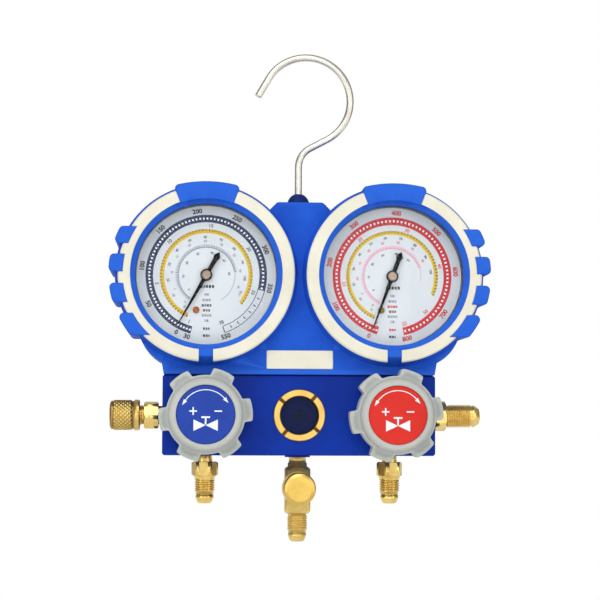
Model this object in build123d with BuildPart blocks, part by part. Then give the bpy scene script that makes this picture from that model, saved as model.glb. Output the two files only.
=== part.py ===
from build123d import *
import os
from math import asin, atan2, cos, degrees, hypot, pi, radians, sin

os.makedirs("parts", exist_ok=True)

# A two-valve refrigerant manifold gauge, in millimetres.
# X points right, Y back and Z up. The origin is the middle of the block's flat back face.
# Distances called forward are measured from that back face towards the user, which is -Y.
# The low-pressure side is at -X and the high-pressure side at +X.


# ---------------------------------------------------------------- driving dimensions

# Fits
thread_play = 0.05          # radial clearance of every thread and turning fit
rubber_play = 0.1           # radial clearance of the boot round what it holds
boot_gap = 0.25             # block top to the boot's lower edge

# Gauges
case_radius = 40.0
case_wall = 1.0
case_depth = 30.0
lens_thickness = 2.0
lens_skirt = 0.8            # wall of the ring that snaps into the case
lens_skirt_depth = 2.6
dial_margin = 1.0           # case wall to dial edge
dial_thickness = 0.6
dial_setback = 4.0          # case front to dial face

# Rubber boot
boot_back_wall = 6.0
boot_rear_lip = 6.0         # how far the back wall covers the case's rim
boot_lip = 1.8              # how far the front rim covers the lens
boot_round = 2.0
rim_width = 2.8
rim_drop = 2.5              # slope of the rim down to the window
inlay_width = 6.6
inlay_thickness = 2.0
inlay_round = 0.7
wall_flare = 1.8            # draft of the ring's outer wall
ring_height = 7.5           # boot plate to ring front
ring_gap = 6.4              # between the cream rings of the two gauges
skirt_height = 4.85         # block top to the ring's outer wall
skirt_inset = 0.6           # boot's lower end inside the block's end
skirt_angle = -44.0         # where the skirt leaves the ring's wall, from +X
skirt_side = 6.6            # straight part above the block
skirt_splay = 1.2
skirt_radius = 24.0
pad_half_angle = 21.0
pad_height = 3.1            # pad corners beyond the cream ring
pad_flat = 0.9              # how much flatter the pad is than the ring, at its middle
pad_corner = 2.5
pad_proud = 0.4             # pads and grips in front of the cream ring
bridge_width = 7.7
bridge_bevel = 3.0
bridge_overlap = 0.3        # how far the bridge runs over the rim
grip_height = 3.2           # grips beyond the ring's wall
grip_inset = 2.9            # how far the grips reach over the cream ring
grip_round = 2.6
grip_edge = 1.2
grip_back = 4.0
pad_margin = 2.0            # pad's chamfered edges start this far above its foot
grip_spans = ((15.6, 25.1), (0.4, 10.2), (-16.1, -5.5), (-33.7, -21.5))
tower_rise = 40.0           # gauge axis to the top between the gauges
tower_half_width = 12.5
tower_flare = 3.9
tower_shoulder = 4.0
tower_corner = 2.5
plate_width = 36.0
plate_height = 10.0
plate_rise = 8.25           # block top to the middle of the cream plate
plate_thickness = 1.2
plate_recess = 0.8
plate_corner = 0.6

# Manifold block
block_end = 23.2            # valve axis to the end of the block
block_height = 43.5
block_depth = 36.0
block_round = 1.6
block_edge = 0.6
port_forward = 18.0         # plane of the gauges, hose ports and hook
boss_radius = 7.0
boss_height = 1.0
passage_radius = 2.0
gallery_radius = 2.0
gallery_forward = 8.0
seat_radius = 2.5
pipe_radius = 4.9           # taper threads of ports and gauge stems, at mid length
pipe_length = 9.0

# Valves
chamber_radius = 5.5
valve_travel = 3.0
bonnet_thread_radius = 8.0
bonnet_thread_length = 10.0
bonnet_hex = 19.0
bonnet_hex_length = 5.0
bonnet_neck_radius = 7.0
bonnet_neck_length = 3.5
piston_length = 13.0
piston_clearance = 1.0      # piston to the bonnet, with the valve closed
piston_nose_radius = 3.5
piston_nose_length = 8.5
oring_groove_radius = 3.9
oring_groove_width = 2.2
oring_radius = 0.75
stem_radius = 4.0
stem_foot_radius = 2.95
stem_foot_length = 1.4
stem_square = 5.6
stem_square_length = 9.0

# Knobs
knob_gap = 9.0              # block face to knob back
knob_length = 17.0
knob_radius = 25.0
knob_valley_radius = 21.0
knob_ring_radius = 19.4
knob_lobe_width = 12.2
knob_lobe_front = 10.6      # knob back to the lobes' outer front corner
knob_shoulder = 13.4        # knob back to where the front ring starts
knob_ring_round = 2.0
knob_lobe_round = 1.2
knob_edge = 0.8             # chamfer round the back of the lobes
outline_margin = 1.0        # how far a turned outline clears the bar it trims
knob_hub_radius = 7.0
knob_hollow_radius = 17.0
knob_hollow_depth = 8.0
badge_radius = 15.65
badge_thickness = 1.0
badge_depth = 0.6           # badge face below the knob front
screw_radius = 1.45
screw_length = 7.0
screw_head_radius = 3.4
screw_head_height = 2.2
screw_floor = 2.0           # knob material under the screw head

# Sight glass
sight_ring_radius = 13.95
sight_window_radius = 10.45
sight_ring_thickness = 4.0
sight_ring_proud = 1.0
sight_glass_thickness = 5.0
sight_seal_thickness = 2.0
sight_seal_width = 4.0
sight_cavity_radius = 8.0
sight_cavity_depth = 6.0
sight_port_radius = 3.5
notch_width = 1.9
notch_depth = 1.0

# Flare ports, 1/4 SAE: 7/16-20 UNF
flare_radius = 5.55
flare_thread = 9.8
flare_relief = 0.6
flare_relief_depth = 0.9
flare_nose_radius = 4.95
flare_tip_radius = 3.1
flare_nose = 4.6
flare_bore = 2.4
hose_neck_radius = 4.1
hose_neck = 3.55
hose_hex = 12.7
hose_hex_length = 7.7
side_neck_radius = 5.0
side_neck = 2.3
side_hex = 13.6
side_hex_length = 7.9
# 5/16 SAE: 1/2-20 UNF
large_radius = 6.35
large_thread = 14.5
large_hex = 14.3
large_hex_length = 6.0
large_neck = 2.0
large_nose = 4.3
large_tip_radius = 2.6
large_bore = 2.5

# Caps of the flare ports
cap_radius = 8.45
cap_seal_gap = 0.1          # seal's face to the port's nose
cap_floor = 2.0
cap_corner = 2.0
cap_flange = 2.8
cap_groove = 0.8
cap_groove_depth = 0.7
cap_standoff = 2.3          # hex to the cap's open end
cap_seal_radius = 4.6
cap_seal_thickness = 1.6
branch_cap_radius = 9.0

# Centre tee
tee_neck_radius = 5.3
tee_neck = 5.25
tee_width = 13.8
tee_length = 25.7
tee_corner = 1.6
tee_end_flat = 1.2          # width of the tapered ends
tee_end_taper = 3.4
tee_end_reach = 4.0
branch_bore = 1.8
tee_branch_drop = 17.75     # block bottom to the branch axis

# Hook
hook_wire = 2.0             # radius of the wire
hook_rise = 21.8            # boot top to the first bend
hook_bend_radius = 12.0
hook_bend_angle = 62.0
hook_neck = 10.7
hook_radius = 24.5
hook_wrap = 212.0
hook_tip = 11.8
hook_seat = 6.0             # stem depth in the block
socket_radius = 4.0
socket_length = 16.0
socket_floor = 2.0
collar_radius = 6.15
collar_height = 6.5

# Gauge movement, placed from the gauge axis
stem_hex = 14.0
stem_hex_length = 7.0
stem_neck_radius = 6.0
socket_block_width = 12.0
socket_block_depth = 14.0
socket_block_low = -38.0
socket_block_high = -24.5
pressure_bore = 1.5
tube_radius = 27.0
tube_height = 7.0
tube_thickness = 2.2
tube_wall = 0.5
tube_tip_angle = -20.0
tube_root = 4.5             # tube end brazed into the socket
frame_back = 6.0            # case back to the movement's rear plate
frame_plate = 1.2
frame_room = 10.8           # between the two plates
frame_half_width = 10.0
frame_top = 6.0
frame_foot = 1.5
frame_post_radius = 1.3
frame_post_side = 8.0
frame_post_up = 3.0
gear_module = 0.3
pinion_teeth = 12
sector_teeth = 96           # on the full circle
sector_span = 15            # teeth that the sector really has
sector_lead = 3             # of them beyond the line to the pinion at rest
tooth_rise = 0.85           # in modules, above and below the pitch circle
tooth_fall = 1.2
tooth_root_half = 0.27
tooth_tip_half = 0.11
gear_width = 1.2
pinion_width = 2.2
arbor_radius = 0.8
link_pin_radius = 0.7
tail_length = 5.0
tail_angle = -80.0
link_thickness = 0.8
link_width = 1.6
link_eye = 1.4
spring_wire = 0.16
spring_width = 0.9
spring_pitch = 0.8
spring_turns = 5
spring_core = 1.3

# Pointers
pointer_length = 31.0
pointer_tail = 14.5
pointer_hub_radius = 3.3
pointer_thickness = 0.4
pointer_lift = 1.6          # dial face to the pointer
pointer_root_width = 2.3
pointer_tip_width = 0.5
pointer_tail_width = 2.5
pointer_head_width = 4.0    # widest part of the spade at the tail
pointer_head_length = 4.9
bush_radius = 2.5
bush_height = 1.8
zero_screw_radius = 1.85
zero_screw_height = 0.8
zero_shank_radius = 1.0
zero_slot = 0.5

# What differs between the two sides: rest angles are measured counter-clockwise from +X
sides = {
    "low": {"sign": -1, "needle": 240.4, "zero": (-5.4, -19.0), "lobes": 6.5, "hex_turn": 7.0},
    "high": {"sign": 1, "needle": 249.7, "zero": (-5.9, -18.5), "lobes": 9.5,
             "hex_turn": -12.0},
}


# ---------------------------------------------------------------- sizes that follow

window_radius = case_radius - boot_lip
rim_radius = window_radius + rim_width
inlay_radius = rim_radius + inlay_width
wall_radius = inlay_radius + wall_flare
grip_radius = wall_radius + grip_height
port_pitch = inlay_radius + ring_gap / 2    # middle of the block to each valve and gauge

block_half_width = port_pitch + block_end
block_top = block_height / 2
block_bottom = -block_height / 2
gauge_height = block_top + skirt_height + wall_radius
tower_top = gauge_height + tower_rise

case_back = boot_back_wall
case_front = case_back + case_depth
lens_front = case_front + lens_thickness
ring_front = lens_front + ring_height
inlay_back = ring_front - inlay_thickness
proud_front = ring_front + pad_proud
dial_front = case_front - dial_setback
dial_back = dial_front - dial_thickness
dial_radius = case_radius - case_wall - dial_margin

bonnet_inner = block_depth - bonnet_thread_length
bonnet_outer = block_depth + bonnet_hex_length + bonnet_neck_length
piston_back = bonnet_inner - piston_clearance
seat_forward = piston_back - piston_length
knob_back = block_depth + knob_gap
knob_front = knob_back + knob_length
badge_back = knob_front - badge_depth - badge_thickness
stem_front = knob_back + 1.0 + stem_square_length
stem_shoulder = knob_back + 1.0
screw_seat = stem_front + screw_floor

sight_ring_back = block_depth + sight_ring_proud - sight_ring_thickness
sight_glass_back = sight_ring_back - sight_glass_thickness
sight_floor = sight_glass_back - sight_seal_thickness
sight_cavity_back = sight_floor - sight_cavity_depth

tee_bottom = boss_height + tee_neck + tee_length
cap_skirt = flare_thread + flare_relief + flare_nose - cap_standoff + cap_seal_gap
cap_length = cap_skirt + cap_seal_thickness + cap_floor

frame_rear_front = case_back + frame_back + frame_plate
frame_front_back = frame_rear_front + frame_room
frame_front = frame_front_back + frame_plate
pinion_radius = gear_module * pinion_teeth / 2
sector_radius = gear_module * sector_teeth / 2
gear_distance = pinion_radius + sector_radius
gear_middle = frame_rear_front + frame_room * 0.4
link_back = port_forward + tube_height / 2 + 0.5
spring_back = gear_middle + pinion_width / 2 + 1.2
pointer_back = dial_front + pointer_lift


# ---------------------------------------------------------------- helpers

def polar(radius, angle):
    """X and Z of a point at this radius and angle, counter-clockwise from +X."""
    return radius * cos(radians(angle)), radius * sin(radians(angle))


def facing(forward, x=0.0, z=0.0):
    """A plane parallel to the back face, as the user sees it."""
    return Plane(origin=(x, -forward, z), x_dir=(1, 0, 0), z_dir=(0, -1, 0))


def level(z, x=0.0, forward=port_forward):
    """A level plane over the port plane, with its Y pointing back."""
    return Plane(origin=(x, -forward, z), x_dir=(1, 0, 0), z_dir=(0, 0, 1))


def across(origin, outward):
    """A plane square to a direction, for the hexagons of a fitting."""
    side = Vector(0, 0, 1) if abs(outward[0]) > 0.5 else Vector(1, 0, 0)
    return Plane(origin=origin, x_dir=side, z_dir=outward)


def along(origin, outward, distance):
    """The point this far from the origin in the outward direction."""
    return tuple(o + distance * d for o, d in zip(origin, outward))


def turn(origin, outward, outline, mode=Mode.ADD):
    """Turn a half outline of (radius, distance outward) into the piece being built."""
    axis_dir = Vector(*outward)
    radial = Vector(0, 0, 1) if abs(axis_dir.X) > 0.5 else Vector(1, 0, 0)
    lathe = Plane(origin=origin, x_dir=radial, z_dir=radial.cross(axis_dir))
    with BuildSketch(lathe) as half:
        with BuildLine():
            Polyline(*outline, close=True)
        make_face()
    revolve(half.sketch, axis=Axis(origin, outward), mode=mode)


def rod(origin, outward, radius, start, end, mode=Mode.ADD):
    """A cylinder between two distances along an axis."""
    with BuildSketch(Plane(origin=along(origin, outward, start), z_dir=outward)) as disc:
        Circle(radius)
    extrude(disc.sketch, amount=end - start, mode=mode)


def hexagon(origin, outward, flats, start, end, rotation=0.0):
    """A hexagon bar with both ends turned down to its flats."""
    with BuildSketch(across(along(origin, outward, start), outward)) as bar:
        RegularPolygon(flats / 2, 6, major_radius=False, rotation=rotation)
    extrude(bar.sketch, amount=end - start)
    outer = flats / 2 / cos(pi / 6) + 1.0
    reach = (outer - flats / 2 + 0.1) * 0.6
    for edge, inward in ((start, 1), (end, -1)):
        skim = [(flats / 2 - 0.1, edge), (outer, edge), (outer, edge + inward * reach)]
        turn(origin, outward, skim, mode=Mode.SUBTRACT)


def save(builder, name):
    """Label a finished piece and write it."""
    builder.part.label = name
    export_step(builder.part, f"parts/{name}.step")


def flare_end(radius, thread, start, nose_radius, tip_radius, nose):
    """Half outline of a flare thread and its nose, from the hexagon outwards."""
    relief = start + thread
    seat = relief + flare_relief
    tip = seat + nose
    return [
        (radius, start), (radius, relief),
        (radius - flare_relief_depth, relief), (radius - flare_relief_depth, seat),
        (nose_radius, seat), (nose_radius, seat + nose * 0.35),
        (tip_radius + (nose_radius - tip_radius) * 0.45, tip - nose * 0.12),
        (tip_radius, tip),
    ]


front = (0, -1, 0)
up = (0, 0, 1)
down = (0, 0, -1)


# ---------------------------------------------------------------- manifold block

def build_block():
    """Anodised block with its valve chambers, galleries and threaded openings."""
    with BuildPart() as block:
        with BuildSketch(facing(0)):
            Rectangle(2 * block_half_width, block_height)
        extrude(amount=block_depth)
        fillet(block.edges().filter_by(Axis.Y), block_round)
        chamfer(block.faces().sort_by(Axis.Y)[0].edges(), block_edge)
        rod((0, -port_forward, block_bottom), down, boss_radius, -1.0, boss_height)
        for side in sides.values():
            x = side["sign"] * port_pitch
            valve = (x, 0, 0)
            rod(valve, front, bonnet_thread_radius + thread_play, bonnet_inner, block_depth,
                mode=Mode.SUBTRACT)
            rod(valve, front, chamber_radius, seat_forward, bonnet_inner, mode=Mode.SUBTRACT)
            rod(valve, front, seat_radius, gallery_forward, seat_forward, mode=Mode.SUBTRACT)
            column = (x, -port_forward, 0)
            for way in (up, down):
                rod(column, way, passage_radius, 0, block_top - pipe_length, mode=Mode.SUBTRACT)
                rod(column, way, pipe_radius + thread_play, block_top - pipe_length, block_top,
                    mode=Mode.SUBTRACT)
            sideways = (side["sign"], 0, 0)
            middle = (0, -port_forward, 0)
            rod(middle, sideways, passage_radius, port_pitch, block_half_width - pipe_length,
                mode=Mode.SUBTRACT)
            rod(middle, sideways, pipe_radius + thread_play, block_half_width - pipe_length,
                block_half_width, mode=Mode.SUBTRACT)
            rod((0, -gallery_forward, 0), sideways, gallery_radius, 0, port_pitch,
                mode=Mode.SUBTRACT)
        sight = (0, 0, 0)
        rod(sight, front, sight_ring_radius + thread_play, sight_floor, block_depth,
            mode=Mode.SUBTRACT)
        rod(sight, front, sight_cavity_radius, sight_cavity_back, sight_floor,
            mode=Mode.SUBTRACT)
        rod(sight, front, sight_port_radius, gallery_forward, sight_cavity_back,
            mode=Mode.SUBTRACT)
        centre = (0, -port_forward, 0)
        bottom = block_top + boss_height
        rod(centre, down, passage_radius, 0, bottom - pipe_length, mode=Mode.SUBTRACT)
        rod(centre, down, pipe_radius + thread_play, bottom - pipe_length, bottom,
            mode=Mode.SUBTRACT)
        rod(centre, up, socket_radius + thread_play, block_top - hook_seat - socket_floor,
            block_top, mode=Mode.SUBTRACT)
    return block


# ---------------------------------------------------------------- rubber boot

def grip_bars(sign):
    """Finger grips of one gauge: level bars cut to a band round the ring."""
    x = sign * port_pitch
    with BuildSketch(facing(grip_back, x, gauge_height)) as bars:
        for low, high in grip_spans:
            with Locations((sign * grip_radius / 2, (low + high) / 2)):
                Rectangle(grip_radius, high - low)
        with BuildSketch(mode=Mode.PRIVATE) as band:
            Circle(grip_radius)
            Circle(inlay_radius - grip_inset, mode=Mode.SUBTRACT)
        add(band.sketch, mode=Mode.INTERSECT)
        rim = bars.vertices().filter_by(lambda v: abs(hypot(v.X, v.Y) - grip_radius) < 0.01)
        fillet(rim, grip_round)
    with BuildPart() as grips:
        extrude(bars.sketch, amount=proud_front - grip_back)
        chamfer(grips.faces().group_by(Axis.Y)[0].edges(), grip_edge / 2)
        chamfer(grips.faces().group_by(Axis.Y)[-1].edges(), grip_edge / 2)
    return grips


def pad_block(sign):
    """Top pad of one gauge: a flat-topped rib broken through the cream ring."""
    reach = inlay_radius + pad_height
    foot = rim_radius - rim_width / 4
    with BuildPart() as pad:
        with BuildSketch(facing(grip_back, sign * port_pitch, gauge_height)) as outline:
            right = polar(reach, 90 - pad_half_angle)
            left = polar(reach, 90 + pad_half_angle)
            with BuildLine():
                Line(polar(foot, 90 - pad_half_angle), right)
                ThreePointArc(right, (0, reach - pad_flat), left)
                Line(left, polar(foot, 90 + pad_half_angle))
                CenterArc((0, 0), foot, 90 - pad_half_angle, 2 * pad_half_angle)
            make_face()
            fillet(outline.vertices().group_by(Axis.Y)[-1], pad_corner)
        extrude(amount=proud_front - grip_back)
        outer = pad.edges().filter_by(lambda e: (e @ 0.5).Z > gauge_height + foot + pad_margin)
        chamfer(outer.group_by(Axis.Y)[0], grip_edge / 2)
        chamfer(outer.group_by(Axis.Y)[-1], grip_edge / 2)
    return pad


def drum_profile():
    """Half outline of the rubber round one gauge: radius and distance forward."""
    pocket = case_radius + rubber_play
    opening = case_radius - boot_rear_lip
    return [
        (opening, 0), (wall_radius - boot_round, 0), (wall_radius, boot_round),
        (wall_radius, lens_front), (inlay_radius, inlay_back), (rim_radius, inlay_back),
        (rim_radius, ring_front), (window_radius, ring_front - rim_drop),
        (window_radius, lens_front), (pocket, lens_front), (pocket, case_back),
        (opening, case_back),
    ]


def bridge_plane(gauge):
    """Upright plane on one side of a bottom bridge, with X down and Y forward."""
    return Plane(origin=(gauge[0] + bridge_width / 2, 0, gauge[2]), x_dir=(0, 0, -1),
                 z_dir=(-1, 0, 0))


def build_boot():
    """One-piece rubber boot over both gauges, standing on the block."""
    skirt_half = block_half_width - skirt_inset
    skirt_bottom = block_top + boot_gap
    leave = polar(wall_radius, skirt_angle)
    flank = (port_pitch + leave[0], gauge_height + leave[1])
    corner = (skirt_half + skirt_splay, skirt_bottom + skirt_side)
    shoulder = tower_half_width + tower_flare
    gauges = [(side["sign"] * port_pitch, 0, gauge_height) for side in sides.values()]
    with BuildPart() as boot:
        # web between the gauges: skirt down to the block and tower round the hook
        with BuildSketch(facing(0)):
            with BuildLine():
                Line((-skirt_half, skirt_bottom), (skirt_half, skirt_bottom))
                Line((skirt_half, skirt_bottom), corner)
                RadiusArc(corner, flank, -skirt_radius)
                Polyline(flank, (port_pitch, gauge_height), (-port_pitch, gauge_height),
                         (-flank[0], flank[1]))
                RadiusArc((-flank[0], flank[1]), (-corner[0], corner[1]), -skirt_radius)
                Line((-corner[0], corner[1]), (-skirt_half, skirt_bottom))
            make_face()
        extrude(amount=lens_front)
        with BuildSketch(facing(0)) as tower:
            with BuildLine():
                Polyline((-tower_half_width, tower_top), (tower_half_width, tower_top),
                         (shoulder, tower_top - tower_shoulder), (shoulder, gauge_height),
                         (-shoulder, gauge_height), (-shoulder, tower_top - tower_shoulder),
                         close=True)
            make_face()
            fillet(tower.vertices().group_by(Axis.Y)[-1], tower_corner)
        extrude(amount=lens_front)
        for face in (boot.faces().sort_by(Axis.Y)[-1], boot.faces().sort_by(Axis.Y)[0]):
            top_edges = face.edges().filter_by(lambda e: (e @ 0.5).Z > tower_top - 2)
            fillet(top_edges, boot_round)
        for gauge in gauges:
            rod(gauge, front, wall_radius - wall_flare, 0, lens_front, mode=Mode.SUBTRACT)
        for side in sides.values():
            turn((side["sign"] * port_pitch, 0, gauge_height), front, drum_profile())
            add(pad_block(side["sign"]).part)
            add(grip_bars(side["sign"]).part)
        for gauge in gauges:
            # the ring is bridged at the bottom, with a bevel down to the plate
            with BuildSketch(bridge_plane(gauge)):
                with BuildLine():
                    Polyline((rim_radius - bridge_overlap, inlay_back),
                             (rim_radius - bridge_overlap, ring_front),
                             (inlay_radius, ring_front), (inlay_radius, inlay_back),
                             close=True)
                make_face()
            extrude(amount=bridge_width)
            with BuildSketch(bridge_plane(gauge)):
                with BuildLine():
                    Polyline((inlay_radius - bridge_bevel, ring_front),
                             (wall_radius, ring_front), (wall_radius, lens_front),
                             close=True)
                make_face()
            extrude(amount=bridge_width, mode=Mode.SUBTRACT)
            stem_channel = stem_hex / 2 / cos(pi / 6) + rubber_play
            rod((gauge[0], -port_forward, 0), up, stem_channel, skirt_bottom,
                gauge_height - case_radius + 2.0, mode=Mode.SUBTRACT)
        stem_base = (0, -port_forward, 0)
        rod(stem_base, up, hook_wire + 0.3, skirt_bottom, tower_top, mode=Mode.SUBTRACT)
        rod(stem_base, up, socket_radius + rubber_play, skirt_bottom,
            block_top - hook_seat - socket_floor + socket_length, mode=Mode.SUBTRACT)
        with BuildSketch(facing(lens_front, 0, block_top + plate_rise)):
            RectangleRounded(plate_width, plate_height, plate_corner)
        extrude(amount=-plate_recess, mode=Mode.SUBTRACT)
    return boot


def build_inlays():
    """Cream rings moulded into the boot, two arcs round each gauge."""
    outline = [
        (rim_radius, inlay_back), (rim_radius, ring_front),
        (inlay_radius - inlay_round, ring_front), (inlay_radius, ring_front - inlay_round),
        (inlay_radius, inlay_back),
    ]
    with BuildPart() as inlays:
        for side in sides.values():
            gauge = (side["sign"] * port_pitch, 0, gauge_height)
            turn(gauge, front, outline)
            with BuildSketch(bridge_plane(gauge)):
                with BuildLine():
                    Polyline((rim_radius - 1, inlay_back), (rim_radius - 1, proud_front),
                             (wall_radius, proud_front), (wall_radius, inlay_back),
                             close=True)
                make_face()
            extrude(amount=bridge_width, mode=Mode.SUBTRACT)
            add(pad_block(side["sign"]).part, mode=Mode.SUBTRACT)
            add(grip_bars(side["sign"]).part, mode=Mode.SUBTRACT)
    return inlays


def build_centre_plate():
    """Blank cream plate set in the front of the boot."""
    with BuildPart() as plate:
        with BuildSketch(facing(lens_front - plate_recess, 0, block_top + plate_rise)):
            RectangleRounded(plate_width, plate_height, plate_corner)
        extrude(amount=plate_thickness)
        chamfer(plate.faces().sort_by(Axis.Y)[0].edges(), 0.3)
    return plate


# ---------------------------------------------------------------- gauges

def build_case(gauge):
    """Pressed steel case with a hole below for the stem."""
    inner = case_radius - case_wall
    with BuildPart() as case:
        turn(gauge, front, [
            (0, case_back), (case_radius - 2.0, case_back), (case_radius, case_back + 2.0),
            (case_radius, case_front), (inner, case_front),
            (inner, case_back + case_wall + 1.0), (inner - 1.0, case_back + case_wall),
            (0, case_back + case_wall),
        ])
        rod((gauge[0], -port_forward, 0), up, stem_neck_radius + rubber_play,
            gauge_height - case_radius - 1, gauge_height - case_radius / 2,
            mode=Mode.SUBTRACT)
    return case


def build_lens(gauge):
    """Clear cover with the ring that snaps inside the case."""
    skirt = case_radius - case_wall - rubber_play
    with BuildPart() as lens:
        turn(gauge, front, [
            (0, case_front), (0, lens_front), (case_radius - 0.4, lens_front),
            (case_radius, lens_front - 0.4), (case_radius, case_front),
            (skirt, case_front), (skirt, case_front - lens_skirt_depth),
            (skirt - lens_skirt, case_front - lens_skirt_depth),
            (skirt - lens_skirt, case_front),
        ])
    return lens


def build_dial(gauge, zero):
    """Printed dial plate, with holes for the arbor and the zero screw."""
    with BuildPart() as dial:
        with BuildSketch(facing(dial_back, gauge[0], gauge[2])):
            Circle(dial_radius)
            Circle(arbor_radius + 0.4, mode=Mode.SUBTRACT)
            with Locations(zero):
                Circle(zero_shank_radius + thread_play, mode=Mode.SUBTRACT)
        extrude(amount=dial_thickness)
    return dial


def tube_bow(gauge, inset, closed, mode=Mode.ADD):
    """Sweep the oval of the pressure tube round from its tip to its root."""
    entry = 270 - degrees(asin(socket_block_width / 2 / tube_radius))
    root = entry + degrees(tube_root / tube_radius)
    tip = tube_tip_angle + closed
    radial = Vector(cos(radians(tip)), 0, sin(radians(tip)))
    section = Plane(origin=gauge, x_dir=radial, z_dir=radial.cross(Vector(0, -1, 0)))
    with BuildSketch(section) as oval:
        with Locations((tube_radius, port_forward)):
            SlotOverall(tube_height - 2 * inset, tube_thickness - 2 * inset, rotation=90)
    revolve(oval.sketch, axis=Axis(gauge, front), revolution_arc=root - tip, mode=mode)


def build_tube(gauge):
    """Bourdon tube: a flattened C, open at the socket and plugged at its tip."""
    x, z = polar(tube_radius, tube_tip_angle)
    tip = (gauge[0] + x, 0, gauge[2] + z)
    with BuildPart() as tube:
        tube_bow(gauge, 0, 0)
        tube_bow(gauge, tube_wall, 4, mode=Mode.SUBTRACT)
        rod(tip, front, link_eye, port_forward - tube_height / 2, link_back - 0.2)
    return tube


def build_socket(gauge):
    """Brass gauge socket: pipe thread, hexagon, neck and the block inside the case."""
    stem = (gauge[0], -port_forward, 0)
    low = gauge_height + socket_block_low
    high = gauge_height + socket_block_high
    neck = block_top + stem_hex_length
    with BuildPart() as socket:
        rod(stem, up, pipe_radius, block_top - pipe_length, block_top)
        hexagon(stem, up, stem_hex, block_top, neck)
        rod(stem, up, stem_neck_radius, neck - 0.5, low + 1.0)
        with BuildSketch(level(low, gauge[0])):
            Rectangle(socket_block_width, socket_block_depth)
        extrude(amount=high - low)
        rod(stem, up, pressure_bore, block_top - pipe_length, high - 2.0, mode=Mode.SUBTRACT)
        tube_bow(gauge, 0, 0, mode=Mode.SUBTRACT)
    return socket


def build_frame(gauge, zero):
    """Movement frame: two plates on a foot, with posts and the spring's stud."""
    plate_low = socket_block_high
    rear_back = case_back + frame_back
    coil_end = spring_core + spring_wire + spring_turns * spring_pitch
    stud = frame_post_radius / 2
    with BuildPart() as frame:
        for start in (rear_back, frame_front_back):
            with BuildSketch(facing(start, gauge[0], gauge[2] + plate_low)):
                with Locations((0, (frame_top - plate_low) / 2)):
                    RectangleRounded(2 * frame_half_width, frame_top - plate_low, 1.5)
            extrude(amount=frame_plate)
        with BuildSketch(facing(rear_back, gauge[0], gauge[2] + plate_low)):
            with Locations((0, frame_foot / 2)):
                Rectangle(socket_block_width, frame_foot)
        extrude(amount=frame_front - rear_back)
        for x in (-frame_post_side, frame_post_side):
            post = (gauge[0] + x, 0, gauge[2] + frame_post_up)
            rod(post, front, frame_post_radius, rear_back, dial_back)
        rod((gauge[0] + coil_end + stud, 0, gauge[2]), front, stud, spring_back,
            frame_front_back)
        for z in (0, -gear_distance):
            rod((gauge[0], 0, gauge[2] + z), front, arbor_radius + thread_play, rear_back,
                frame_front, mode=Mode.SUBTRACT)
        rod((gauge[0] + zero[0], 0, gauge[2] + zero[1]), front,
            zero_shank_radius + thread_play, frame_front_back, frame_front,
            mode=Mode.SUBTRACT)
    return frame


def tooth(root, tip, angle):
    """One straight-sided gear tooth of the sketch being built."""
    with BuildLine(mode=Mode.PRIVATE) as flank:
        Polyline((root - 0.1, -tooth_root_half), (root, -tooth_root_half),
                 (tip, -tooth_tip_half), (tip, tooth_tip_half), (root, tooth_root_half),
                 (root - 0.1, tooth_root_half), close=True)
    add(make_face(flank.line, mode=Mode.PRIVATE).rotate(Axis.Z, angle))


def build_pinion(gauge):
    """Pinion, its arbor through to the pointer, and the collet of the hairspring."""
    root = pinion_radius - tooth_fall * gear_module
    tip = pinion_radius + tooth_rise * gear_module
    with BuildPart() as pinion:
        start = gear_middle - pinion_width / 2
        with BuildSketch(facing(start, gauge[0], gauge[2])):
            Circle(root)
            for k in range(pinion_teeth):
                tooth(root, tip, -90 + k * 360 / pinion_teeth)
        extrude(amount=pinion_width)
        rod(gauge, front, arbor_radius, case_back + frame_back, pointer_back + 1.2)
        rod(gauge, front, spring_core, spring_back, spring_back + spring_width)
    return pinion


def build_sector(gauge):
    """Sector gear with its arbor, tail and link pin."""
    pivot = (gauge[0], 0, gauge[2] - gear_distance)
    root = sector_radius - tooth_fall * gear_module
    tip = sector_radius + tooth_rise * gear_module
    step = 360 / sector_teeth
    angles = [90 + step * (k + 0.5) for k in range(sector_lead - sector_span, sector_lead)]
    first, last = angles[0] - step / 2, angles[-1] + step / 2
    tail = polar(tail_length, tail_angle)
    with BuildPart() as sector:
        with BuildSketch(facing(gear_middle - gear_width / 2, pivot[0], pivot[2])):
            with BuildLine():
                Line((0, 0), polar(root, first))
                CenterArc((0, 0), root, first, last - first)
                Line(polar(root, last), (0, 0))
            make_face()
            with BuildLine():
                inner, outer = root * 0.4, root * 0.8
                CenterArc((0, 0), inner, first + 10, last - first - 20)
                Line(polar(inner, last - 10), polar(outer, last - 6))
                CenterArc((0, 0), outer, first + 6, last - first - 12)
                Line(polar(outer, first + 6), polar(inner, first + 10))
            make_face(mode=Mode.SUBTRACT)
            for angle in angles:
                tooth(root, tip, angle)
            Circle(arbor_radius + 1.3)
            with Locations((tail[0] / 2, tail[1] / 2)):
                Rectangle(tail_length, link_width, rotation=tail_angle)
            with Locations(tail):
                Circle(link_eye)
        extrude(amount=gear_width)
        rod(pivot, front, arbor_radius, case_back + frame_back, frame_front)
        pin = (pivot[0] + tail[0], 0, pivot[2] + tail[1])
        rod(pin, front, link_pin_radius, gear_middle, link_back + link_thickness + 0.4)
    return sector


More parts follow.
